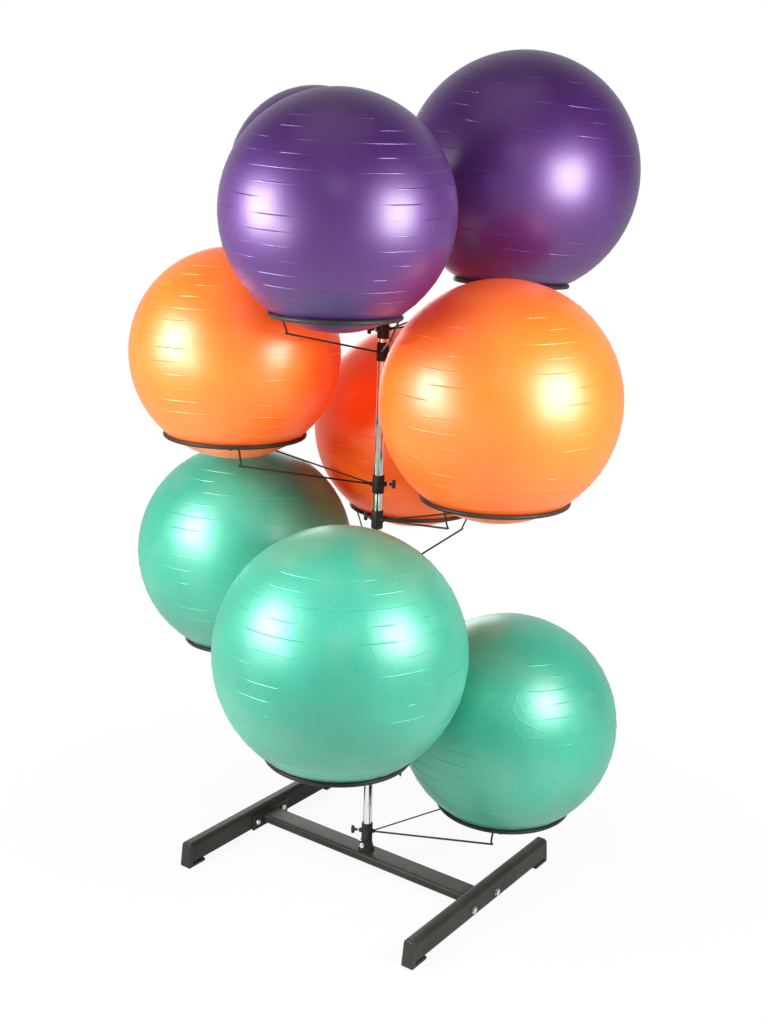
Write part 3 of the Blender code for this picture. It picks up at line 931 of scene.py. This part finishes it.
class RACK_OT_collars(PieceOperator, bpy.types.Operator):
    """Make the collars that slide on the post"""

    bl_idname = "rack.collars"
    bl_label = "Collars"

    def execute(self, context):
        weld = context.scene.rack_frame.weld
        half = COLLAR_HEIGHT / 2
        sleeve = cylinder(COLLAR_RADIUS, -half, half)
        ends = ((-half, COLLAR_RADIUS), (half, COLLAR_RADIUS))
        bore(sleeve, POST_RADIUS + SEAT_GAP, ends)
        soften(sleeve, SLEEVE_ROUNDING, lying_at(2, -half, half))
        boss = cylinder(BOSS_RADIUS, -BOSS_END, -COLLAR_ROOT, 32, "X")
        with shaping(boss):
            choose(lying_at(0, -BOSS_END))
            stepped(BOSS_RADIUS - STUD_RADIUS - SEAT_GAP, (BOSS_DEPTH, 0, 0))
        soften(boss, BOSS_ROUNDING, lying_at(0, -BOSS_END))
        stub = cylinder(STUB_RADIUS, COLLAR_ROOT, STUB_END, 32, "X")
        soften(stub, STUB_ROUNDING, lying_at(0, STUB_END))
        beads = [
            ring(BOSS_RADIUS, weld, (-COLLAR_BEAD, 0, 0), "X"),
            ring(STUB_RADIUS, weld, (COLLAR_BEAD, 0, 0), "X"),
        ]
        collar = joined(sleeve, boss, stub, *beads)
        for name in HOLDERS:
            fit(
                copied(collar), f"{name}_sleeve", "black sleeve", f"holder_{name}",
                (f"collar_{name}",), swivel_place(name)
            )
        drop(collar)
        return {"FINISHED"}


STUD_TIP = 0.0143
THREAD_START = 0.0170
THREAD_RIDGES = 17
THREAD_PITCH = 0.001
THREAD_SWELL = 1.16
THREAD_ROOT = 0.86
NECK_RADIUS = 0.0046
NECK_STEP = 0.0008
GRIP_BAR_RADIUS = 0.0056
GRIP_BAR_HALF = 0.0135
GRIP_ROUNDING = 0.0040
GRIP_WAIST = 0.004
GRIP_SWELL = 1.12


class RACK_OT_hand_screws(PieceOperator, bpy.types.Operator):
    """Make the threaded studs and their tee grips"""

    bl_idname = "rack.hand_screws"
    bl_label = "Hand screws"

    def execute(self, context):
        stud = cylinder(STUD_RADIUS * THREAD_ROOT, -THREAD_START, -STUD_TIP, 24, "X")
        with shaping(stud):
            choose(lying_at(0, -THREAD_START))
            for change in (THREAD_SWELL, 1 / THREAD_SWELL) * THREAD_RIDGES:
                extrude((-THREAD_PITCH / 2, 0, 0))
                bpy.ops.transform.resize(value=(1, change, change), center_override=(-THREAD_START, 0, 0))
        neck = cylinder(NECK_RADIUS, -GRIP_BAR_X, -GRIP_START, 24, "X")
        with shaping(neck):
            choose(lying_at(0, -GRIP_START))
            stepped(NECK_STEP, (NECK_STEP, 0, 0))
        bar = cylinder(GRIP_BAR_RADIUS, -GRIP_BAR_HALF, GRIP_BAR_HALF, 24)
        soften(bar, GRIP_ROUNDING, lying_at(2, -GRIP_BAR_HALF, GRIP_BAR_HALF), 5)
        with shaping(bar):
            for level in (-GRIP_WAIST, GRIP_WAIST):
                bpy.ops.mesh.select_all(action="SELECT")
                bpy.ops.mesh.bisect(plane_co=(0, 0, level), plane_no=UP)
            bpy.ops.mesh.select_mode(type="VERT")
            choose(lambda point: abs(point.co.z) < GRIP_WAIST + TOUCH)
            narrow(GRIP_SWELL)
        bar.matrix_world = Matrix.Translation((-GRIP_BAR_X, 0, 0))
        grip = joined(neck, bar)
        for name in HOLDERS:
            screw, place = f"screw_{name}", swivel_place(name)
            fit(copied(stud), f"{name}_stud", "zinc plate", screw, place=place)
            fit(
                copied(grip), f"{name}_tee_grip", "black moulding", screw,
                (f"hand_screw_{name}",), place, 50
            )
        drop(stud)
        drop(grip)
        return {"FINISHED"}


POST_CAP_RADIUS = 0.0148
POST_CAP_HEIGHT = 0.004
POST_CAP_RIM = 0.0026
POST_CAP_DEPTH = 0.015
POST_CAP_ROUNDING = 0.0028


class RACK_OT_post(PieceOperator, bpy.types.Operator):
    """Make the chromed post and the cap in its top"""

    bl_idname = "rack.post"
    bl_label = "Post"

    def execute(self, context):
        post = cylinder(POST_RADIUS, SOCKET_FOOT, POST_TOP, 96, fill="NOTHING")
        hollow(post, POST_WALL)
        fit(post, "chromed_post", "chrome plate", "column", ("post",))
        foot, top = POST_TOP + SEAT_GAP, POST_TOP + POST_CAP_HEIGHT
        cap = cylinder(POST_CAP_RADIUS, foot, top, 64)
        with shaping(cap):
            choose(lying_at(2, foot))
            stepped(POST_CAP_RIM, (0, 0, -POST_CAP_DEPTH))
        soften(cap, POST_CAP_ROUNDING, lying_at(2, top), 6)
        fit(cap, "post_top_cap", "black moulding", "column", ("post_cap",))
        return {"FINISHED"}


# Radius and height above the foot of each ring of the socket
SOCKET_RINGS = (
    (SOCKET_FOOT_RADIUS, 0.006),
    (0.0222, 0.012),
    (0.0182, 0.027),
    (SOCKET_TOP_RADIUS, SOCKET_HEIGHT),
)
SOCKET_ROUNDING = 0.0010
SOCKET_BEAD_OUT = 0.0004
SOCKET_BEAD_RISE = 0.0015
SOCKET_BEAD_SHARE = 1.3
# Corner radius, height of the head and length of the shank
SET_SCREW = (0.0078, 0.0052, 0.008)
SET_SCREW_SINK = 0.0005


class RACK_OT_socket(PieceOperator, bpy.types.Operator):
    """Make the tapered socket, its weld and its two clamping screws"""

    bl_idname = "rack.socket"
    bl_label = "Socket"

    def execute(self, context):
        weld = context.scene.rack_frame.weld
        foot, top = SOCKET_FOOT, SOCKET_FOOT + SOCKET_HEIGHT
        (radius, height), *rings = SOCKET_RINGS
        socket = cylinder(radius, foot, foot + height, 64)
        with shaping(socket):
            choose(lying_at(2, foot + height))
            for wider, higher in rings:
                extrude((0, 0, higher - height))
                narrow(wider / radius)
                radius, height = wider, higher
        ends = ((foot, SOCKET_FOOT_RADIUS), (top, SOCKET_TOP_RADIUS))
        bore(socket, POST_RADIUS + SEAT_GAP, ends)
        soften(socket, SOCKET_ROUNDING, lying_at(2, top))
        bead = ring(
            SOCKET_FOOT_RADIUS + SOCKET_BEAD_OUT,
            weld * SOCKET_BEAD_SHARE,
            (0, 0, foot + SOCKET_BEAD_RISE),
            sides=64,
        )
        fit(
            joined(socket, bead), "tapered_socket", "black sleeve", "stand",
            ("post_socket",)
        )
        screw = hex_screw(*SET_SCREW)
        for side, turn in (("front", -90), ("side", 180)):
            place = Matrix.Translation((0, 0, foot + SET_SCREW_HEIGHT)) @ turned(turn)
            place @= Matrix.Translation((SOCKET_FOOT_RADIUS - SET_SCREW_SINK, 0, 0))
            fit(
                copied(screw), f"clamp_screw_{side}", "zinc plate", "stand",
                (f"set_screw_{side}",), place, 30
            )
        drop(screw)
        return {"FINISHED"}


WASHER_SPREAD = 1.05
WASHER_THICKNESS = 0.0009
HEAD_START = 0.0006
HEAD_ROUNDING = 0.0003
# Width, as a share of the corner radius, and rise of each step towards the head's middle
HEAD_STEPS = ((0.14, 0.0005), (0.3, -0.0004))
STEM_END = 0.0005


def hex_screw(corner, head, shank):
    """A hexagon screw along +X, with its washer face at the origin."""
    flange = cylinder(corner * WASHER_SPREAD, 0, WASHER_THICKNESS, 36, "X")
    soften(flange, HEAD_ROUNDING, lying_at(0, WASHER_THICKNESS), 2)
    hexagon = cylinder(corner, HEAD_START, head, 6, "X")
    with shaping(hexagon):
        choose(lying_at(0, head))
        for width, rise in HEAD_STEPS:
            bpy.ops.mesh.inset(thickness=corner * width)
            bpy.ops.transform.translate(value=(rise, 0, 0))
    soften(hexagon, HEAD_ROUNDING, lambda edge: along(edge, 0), 2)
    stem = cylinder(BOLT_RADIUS, -shank, STEM_END, 24, "X")
    return joined(hexagon, flange, stem)


def tube_bar(width, height, corner, low, high):
    """A rounded rectangular tube along Y, about the origin across it."""
    bar = block((width, high - low, height), (0, (low + high) / 2, 0))
    soften(bar, corner, lambda edge: along(edge, 1), 8)
    with shaping(bar):
        choose(lying_at(1, low, high))
        bpy.ops.mesh.delete(type="FACE")
    hollow(bar, TUBE_WALL)
    return bar


class RACK_OT_rails(PieceOperator, bpy.types.Operator):
    """Make the two floor rails"""

    bl_idname = "rack.rails"
    bl_label = "Floor rails"

    def execute(self, context):
        half = RAIL_LENGTH / 2
        rail = tube_bar(RAIL_WIDTH, RAIL_HEIGHT, RAIL_CORNER, -half, half)
        for side, sign in SIDES:
            fit(
                copied(rail), f"floor_rail_{side}", "powder coat", "stand",
                (f"rail_{side}",),
                Matrix.Translation((sign * RAIL_X, 0, FOOT_DROP + RAIL_HEIGHT / 2))
            )
        drop(rail)
        return {"FINISHED"}


BROW_ROUNDING = 0.0075
SOLE_ROUNDING = 0.0025
CAP_SEAM_ROUNDING = 0.0008
CAP_PLUG_PLAY = 0.0048
CAP_PLUG_LENGTH = 0.021
CAP_PLUG_MIDDLE = 0.0075
CAP_PLUG_CORNER = 0.0105


def borders(edge, test):
    """Whether just one of an edge's faces passes a test."""
    return sum(test(face) for face in edge.link_faces) == 1


def leaning_face(face):
    """The outer face of an end cap."""
    return face.normal.y < -0.9 and middle(face).y < -CAP_TOP_REACH / 2


def lower_face(face):
    """The face that an end cap stands on."""
    return face.normal.z < -0.99 and middle(face).z < TOUCH


class RACK_OT_end_caps(PieceOperator, bpy.types.Operator):
    """Make the moulded caps in the rails' ends, each with its foot"""

    bl_idname = "rack.end_caps"
    bl_label = "End caps"

    def execute(self, context):
        tall = FOOT_DROP + RAIL_HEIGHT
        foot_top = FOOT_DROP - SEAT_GAP
        cap = block((RAIL_WIDTH, CAP_TOE_REACH, tall), (0, -CAP_TOE_REACH / 2, tall / 2))
        toe, top = lying_at(1, -CAP_TOE_REACH), lying_at(2, tall)
        with shaping(cap):
            bpy.ops.mesh.select_all(action="SELECT")
            bpy.ops.mesh.bisect(plane_co=(0, 0, foot_top), plane_no=UP)
            choose(lambda face: face.normal.y > 0.9 and middle(face).z < foot_top)
            extrude((0, FOOT_LENGTH, 0))
            bpy.ops.mesh.select_mode(type="EDGE")
            choose(lambda edge: toe(edge) and top(edge))
            bpy.ops.transform.translate(value=(0, CAP_TOE_REACH - CAP_TOP_REACH, 0))
        soften(cap, RAIL_CORNER, lambda edge: along(edge, 1) and top(edge), 8)
        soften(cap, BROW_ROUNDING, lambda edge: borders(edge, leaning_face), 5)
        soften(cap, SOLE_ROUNDING, lambda edge: borders(edge, lower_face), 4)
        soften(cap, CAP_SEAM_ROUNDING, lying_at(1, 0), 2)
        plug = block(
            (RAIL_WIDTH - CAP_PLUG_PLAY, CAP_PLUG_LENGTH, RAIL_HEIGHT - CAP_PLUG_PLAY),
            (0, CAP_PLUG_MIDDLE, FOOT_DROP + RAIL_HEIGHT / 2),
        )
        soften(plug, CAP_PLUG_CORNER, lambda edge: along(edge, 1), 6)
        cap = joined(cap, plug)
        reach = RAIL_LENGTH / 2 + SEAT_GAP
        for side, sign in SIDES:
            for end, along_rail, turn in (("near", -reach, 0), ("far", reach, 180)):
                fit(
                    copied(cap), f"moulded_cap_{side}_{end}", "black moulding", "stand",
                    (f"end_cap_{side}_{end}",),
                    Matrix.Translation((sign * RAIL_X, along_rail, 0)) @ turned(turn)
                )
        drop(cap)
        return {"FINISHED"}


PLATE_CORNER = 0.006
PLATE_ROUNDING = 0.0006
SEAM_THICKNESS = 0.0026
SEAM_MIDDLE = 0.0012
SEAM_SPREAD = 2.2
SEAM_ROUNDING = 0.0011


class RACK_OT_cross_beam(PieceOperator, bpy.types.Operator):
    """Make the cross beam and the plates welded to its ends"""

    bl_idname = "rack.cross_beam"
    bl_label = "Cross beam"

    def execute(self, context):
        margin = SEAM_SPREAD * context.scene.rack_frame.weld
        half = PLATE_INNER_X - SEAT_GAP
        place = Matrix.Translation((0, 0, BEAM_MIDDLE))
        fit(
            tube_bar(BEAM_WIDTH, BEAM_HEIGHT, BEAM_CORNER, -half, half), "flat_cross_beam",
            "powder coat", "stand", ("cross_beam",), place @ turned(-90)
        )
        for side, sign in SIDES:
            plate = block(
                (PLATE_THICKNESS, PLATE_LENGTH, PLATE_HEIGHT),
                (sign * (PLATE_INNER_X + PLATE_THICKNESS / 2), 0, 0),
            )
            soften(plate, PLATE_CORNER, lambda edge: along(edge, 0), 6)
            soften(plate, PLATE_ROUNDING, lying_at(0, sign * PLATE_INNER_X), 2)
            seam = block(
                (SEAM_THICKNESS, BEAM_WIDTH + margin, BEAM_HEIGHT + margin),
                (sign * (PLATE_INNER_X - SEAM_MIDDLE), 0, 0),
            )
            soften(seam, BEAM_CORNER, lambda edge: along(edge, 0), 8)
            seam_edge = PLATE_INNER_X - SEAM_MIDDLE - SEAM_THICKNESS / 2
            soften(seam, SEAM_ROUNDING, lying_at(0, sign * seam_edge), 3)
            fit(
                joined(plate, seam), f"welded_plate_{side}", "powder coat", "stand",
                (f"flange_plate_{side}",), place
            )
        return {"FINISHED"}


RAIL_BOLT_CORNER = 0.0104
RAIL_BOLT_HEAD = 0.0054
RAIL_BOLT_OVERHANG = 0.0095
RAIL_BOLT_GAP = 0.0002
NUT_CORNER = 0.0098
NUT_TOP = 0.0066
NUT_ROUNDING = 0.0008
NUT_RIM = 0.0036
NUT_RECESS = 0.0010


class RACK_OT_rail_bolts(PieceOperator, bpy.types.Operator):
    """Make the bolts through the rails and the nuts on the plates"""

    bl_idname = "rack.rail_bolts"
    bl_label = "Rail bolts"

    def execute(self, context):
        outside = RAIL_X + RAIL_WIDTH / 2
        reach = outside - PLATE_INNER_X + RAIL_BOLT_OVERHANG
        bolt = hex_screw(RAIL_BOLT_CORNER, RAIL_BOLT_HEAD, reach)
        nut = cylinder(NUT_CORNER, SEAT_GAP, NUT_TOP, 6, "X")
        soften(nut, NUT_ROUNDING, lying_at(0, SEAT_GAP, NUT_TOP), 2)
        with shaping(nut):
            choose(lying_at(0, NUT_TOP))
            stepped(NUT_RIM, (-NUT_RECESS, 0, 0))
        for side, sign in SIDES:
            for end, y in (("near", -BOLT_Y), ("far", BOLT_Y)):
                for piece, kind, x, turn in (
                    (bolt, "bolt", outside + RAIL_BOLT_GAP, 90 - sign * 90),
                    (nut, "nut", PLATE_INNER_X, 90 + sign * 90),
                ):
                    fit(
                        copied(piece), f"hex_{kind}_{side}_{end}", "zinc plate", "stand",
                        (f"rail_{kind}_{side}_{end}",),
                        Matrix.Translation((sign * x, y, BEAM_MIDDLE)) @ turned(turn), 30
                    )
        drop(bolt)
        drop(nut)
        return {"FINISHED"}


SIGHT_RAYS = ("Is Camera Ray", "Is Glossy Ray", "Is Transmission Ray")


def ray_share(tree, *names):
    """How far a ray is one of these kinds, from Light Path."""
    path = tree.nodes.new("ShaderNodeLightPath").outputs
    share = path[names[0]]
    for name in names[1:]:
        share = worked(tree, "MAXIMUM", share, path[name])
    return share


def room_world(fill, dimness):
    """An even room, white to the camera, whose reflection fades away from the backdrop."""
    world = bpy.data.worlds.new("white room")
    world.use_nodes = True
    tree = world.node_tree
    light = tree.nodes["Background"]
    light.inputs["Color"].default_value = (1.0, 0.99, 0.98, 1)
    light.inputs["Strength"].default_value = fill
    direction = tree.nodes.new("ShaderNodeTexCoord").outputs["Generated"]
    towards = tree.nodes.new("ShaderNodeVectorMath")
    towards.operation = "DOT_PRODUCT"
    towards.inputs[1].default_value = BACKDROP_DIRECTION
    tree.links.new(direction, towards.inputs[0])
    mirrored = spread(tree, towards.outputs["Value"], 0.35, 1.0, dimness, 0.8)
    strength = worked(tree, "MAXIMUM", ray_share(tree, SIGHT_RAYS[0]), mirrored)
    seen = tree.nodes.new("ShaderNodeBackground")
    seen.inputs["Color"].default_value = (1, 1, 1, 1)
    tree.links.new(strength, seen.inputs["Strength"])
    surfaced(tree, ray_share(tree, *SIGHT_RAYS), light, seen, "World Output")
    return world


def floor_finish():
    """White paper that keeps a faint shadow and is white to the camera."""
    made = bpy.data.materials.new("white paper")
    made.use_nodes = True
    tree = made.node_tree
    paper = tree.nodes["Principled BSDF"]
    paper.inputs["Base Color"].default_value = (0.65, 0.65, 0.65, 1)
    paper.inputs["Roughness"].default_value = 0.9
    glow = tree.nodes.new("ShaderNodeEmission")
    place = tree.nodes.new("ShaderNodeTexCoord").outputs["Object"]
    distance = tree.nodes.new("ShaderNodeVectorMath")
    distance.operation = "LENGTH"
    tree.links.new(place, distance.inputs[0])
    white = spread(tree, distance.outputs["Value"], 0.5, 1.6, 0.92, 1.0)
    mirrored = spread(tree, ray_share(tree, *SIGHT_RAYS[1:]), 0.0, 1.0, most=0.4)
    sight = worked(tree, "MAXIMUM", ray_share(tree, SIGHT_RAYS[0]), mirrored)
    seen = worked(tree, "MULTIPLY", sight, white)
    surfaced(tree, seen, paper, glow, "Material Output")
    return made


MIDDLE_OF_RACK = Vector((0, 0, 1.4))
# Name, place, side and share of the set power
SOFTBOXES = (
    ("left_softbox", (-1.15, -2.25, 2.1), 1.2, 1.0),
    ("right_softbox", (2.5, -0.3, 2.1), 1.2, 1.0),
    ("camera_softbox", (1.9, -2.7, 3.3), 0.5, 0.05),
    ("low_softbox", (-0.4, -2.6, 1.55), 0.5, 0.12),
    ("back_softbox", (-2.4, 2.6, 1.7), 1.8, 0.4),
    ("ceiling_softbox", (0.2, -0.9, 4.6), 2.4, 0.1),
)


def softbox(name, place, side, power):
    """A square soft lamp that looks at the rack's middle."""
    bpy.ops.object.light_add(type="AREA", location=place)
    lamp = bpy.context.object
    lamp.name = name
    lamp.data.shape = "SQUARE"
    lamp.data.size = side
    lamp.data.energy = power
    lamp.rotation_euler = (MIDDLE_OF_RACK - Vector(place)).to_track_quat("-Z", "Y").to_euler()


class RACK_OT_stage(PieceOperator, bpy.types.Operator):
    """Set up the floor, the lamps and the camera"""

    bl_idname = "rack.stage"
    bl_label = "Stage"

    def execute(self, context):
        settings = context.scene.rack_stage
        scene = context.scene
        deselect()
        bpy.ops.mesh.primitive_plane_add(size=settings.floor_size, location=(0, 0, 0))
        floor = context.object
        floor.name = "paper_floor"
        floor.data.materials.append(floor_finish())
        for name, place, side, share in SOFTBOXES:
            softbox(name, place, side, settings.softbox_power * share)
        scene.world = room_world(settings.fill_strength, settings.room_dimness)
        bpy.ops.object.camera_add(location=CAMERA_PLACE)
        camera = context.object
        camera.name = "photo_camera"
        back = CAMERA_RIGHT.cross(CAMERA_UP)
        columns = Matrix((CAMERA_RIGHT, CAMERA_UP, back)).transposed()
        camera.matrix_world = Matrix.Translation(CAMERA_PLACE) @ columns.to_4x4()
        camera.data.sensor_width = CAMERA_SENSOR
        camera.data.lens = CAMERA_LENS
        camera.data.shift_x, camera.data.shift_y = CAMERA_SHIFT
        scene.camera = camera
        scene.view_settings.view_transform = "Standard"
        return {"FINISHED"}


STEPS = (
    RACK_OT_finishes,
    RACK_OT_rails,
    RACK_OT_end_caps,
    RACK_OT_cross_beam,
    RACK_OT_rail_bolts,
    RACK_OT_socket,
    RACK_OT_post,
    RACK_OT_collars,
    RACK_OT_hand_screws,
    RACK_OT_hoops,
    RACK_OT_balls,
    RACK_OT_valve_plugs,
    RACK_OT_stage,
)


class RACK_PT_pieces(bpy.types.Panel):
    """Lists the settings and the pieces of the rack"""

    bl_idname = "RACK_PT_pieces"
    bl_label = "Exercise ball rack"
    bl_space_type = "VIEW_3D"
    bl_region_type = "UI"
    bl_category = "Ball Rack"

    def draw(self, context):
        for label in ("rack_balls", "rack_frame", "rack_stage"):
            settings = getattr(context.scene, label)
            box = self.layout.box()
            for name in settings.__annotations__:
                box.prop(settings, name)
        for step in STEPS:
            self.layout.operator(step.bl_idname)


SETTINGS = {"rack_balls": BallSettings, "rack_frame": FrameSettings, "rack_stage": StageSettings}


def register():
    """Registers the settings, the operators and the panel."""
    for name, settings in SETTINGS.items():
        bpy.utils.register_class(settings)
        setattr(bpy.types.Scene, name, bpy.props.PointerProperty(type=settings))
    for step in (*STEPS, RACK_PT_pieces):
        bpy.utils.register_class(step)


def unregister():
    """Takes all of it back."""
    for step in reversed((*STEPS, RACK_PT_pieces)):
        bpy.utils.unregister_class(step)
    for name, settings in SETTINGS.items():
        delattr(bpy.types.Scene, name)
        bpy.utils.unregister_class(settings)


def main():
    """Registers the add-on, then builds every piece in order."""
    register()
    for step in STEPS:
        group, name = step.bl_idname.split(".")
        getattr(getattr(bpy.ops, group), name)()


if __name__ == "__main__":
    main()
